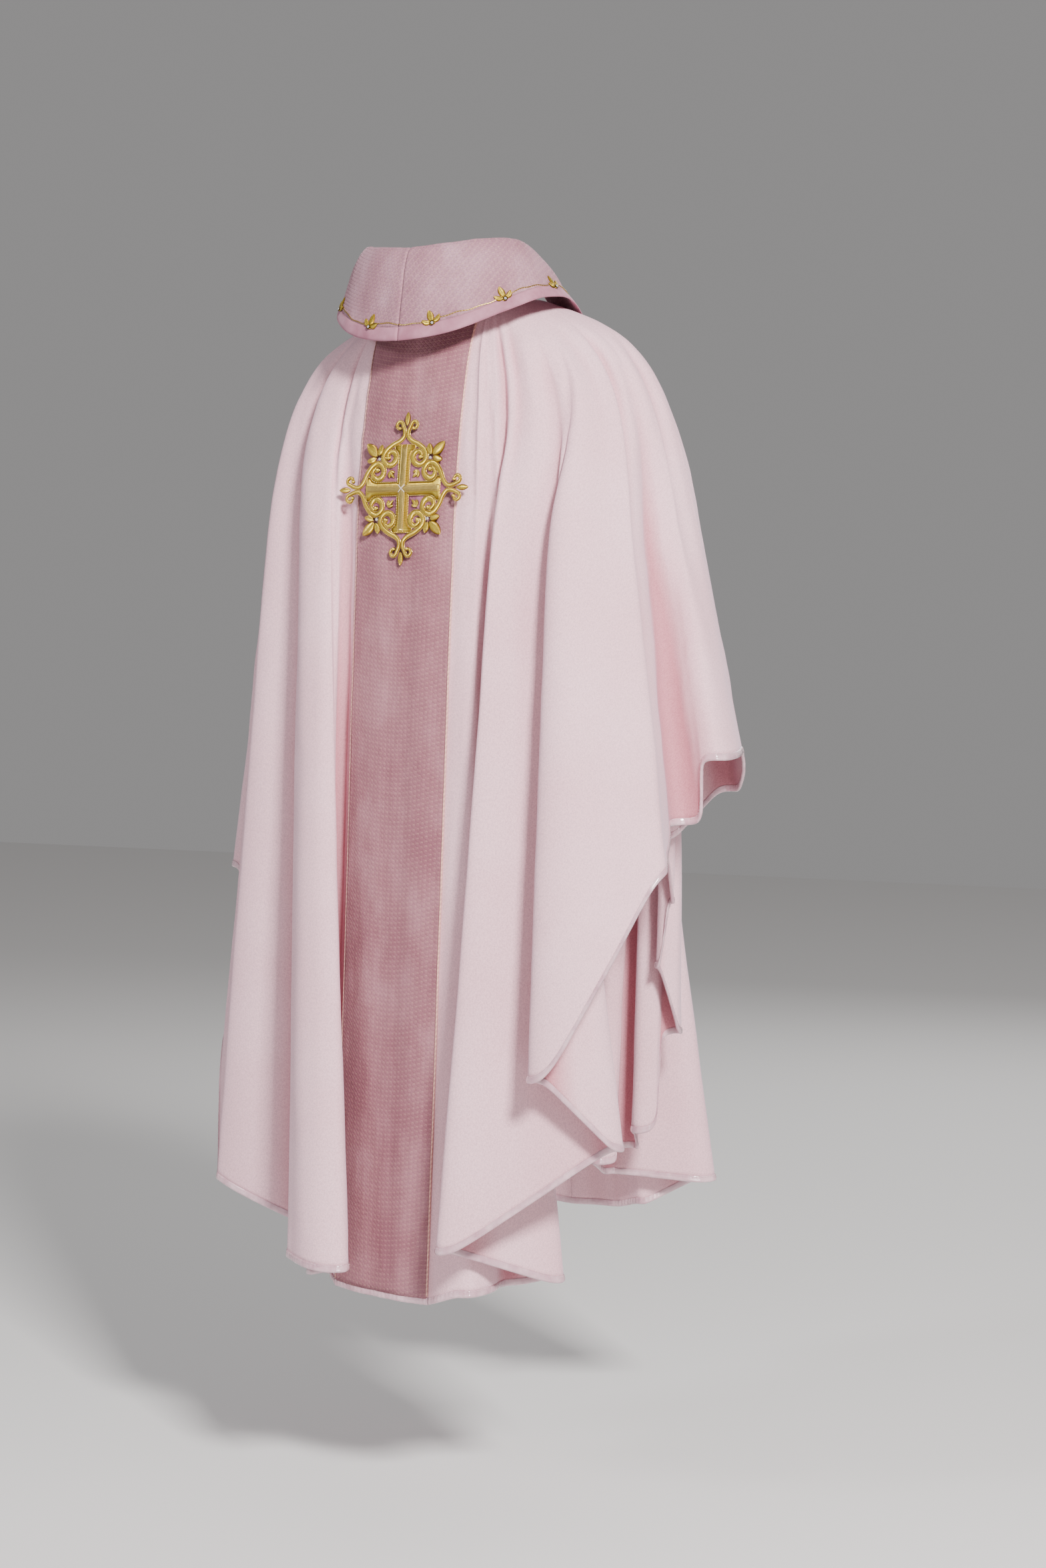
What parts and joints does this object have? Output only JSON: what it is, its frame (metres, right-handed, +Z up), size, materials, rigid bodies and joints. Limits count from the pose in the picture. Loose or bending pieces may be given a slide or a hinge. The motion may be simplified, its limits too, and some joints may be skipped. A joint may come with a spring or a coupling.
{
  "type": "chasuble",
  "caption": "Full-cut rose liturgical vestment with a roll collar, brocade centre strips and goldwork cross emblems, hanging in deep folds as if worn.",
  "frame": {"origin": "centre of the neck opening, level with the shoulder seams at the neck", "axes": "+Z up, the front of the garment faces -Y, the back with the cross faces +Y, the wearer's left is +X"},
  "size_m": [0.7597, 0.5753, 1.3097],
  "materials": {
    "crepe": "matte fine-grained crepe",
    "brocade": "velvet brocade with a fine basket grid of metallic dashes",
    "velvet": "plain short-pile velvet",
    "satin": "shiny satin bias strip",
    "piping_cord": "fine twisted cord",
    "gold_thread": "padded satin stitch in metallic gold thread",
    "pale_thread": "smooth thread",
    "crystal": "clear cut stone"
  },
  "bodies": {
    "root": {"back_emblem_corner_leaves": "gold_thread", "back_emblem_cross_bar": "gold_thread", "back_emblem_cross_upright": "gold_thread", "back_emblem_crossing_threads": "pale_thread", "back_emblem_crystals": "crystal", "back_emblem_ground": "velvet", "back_emblem_inner_fleurs": "gold_thread", "back_emblem_scrolls_bottom": "gold_thread", "back_emblem_scrolls_left": "gold_thread", "back_emblem_scrolls_right": "gold_thread", "back_emblem_scrolls_top": "gold_thread", "back_emblem_spear_tips": "gold_thread", "back_left_panel": "crepe", "back_orphrey": "brocade", "back_piping_left": "piping_cord", "back_piping_right": "piping_cord", "back_right_panel": "crepe", "collar_band_left": "velvet", "collar_band_right": "velvet", "collar_cord_left": "gold_thread", "collar_cord_right": "gold_thread", "collar_crystals": "crystal", "collar_fall_left": "brocade", "collar_fall_right": "brocade", "collar_lilies": "gold_thread", "collar_stand_left": "brocade", "collar_stand_right": "brocade", "front_emblem_corner_leaves": "gold_thread", "front_emblem_cross_bar": "gold_thread", "front_emblem_cross_upright": "gold_thread", "front_emblem_crossing_threads": "pale_thread", "front_emblem_crystals": "crystal", "front_emblem_ground": "velvet", "front_emblem_inner_fleurs": "gold_thread", "front_emblem_scrolls_bottom": "gold_thread", "front_emblem_scrolls_left": "gold_thread", "front_emblem_scrolls_right": "gold_thread", "front_emblem_scrolls_top": "gold_thread", "front_emblem_spear_tips": "gold_thread", "front_left_panel": "crepe", "front_orphrey": "brocade", "front_piping_left": "piping_cord", "front_piping_right": "piping_cord", "front_right_panel": "crepe", "hem_binding": "satin", "neck_tape": "crepe"}
  },
  "joints": []
}
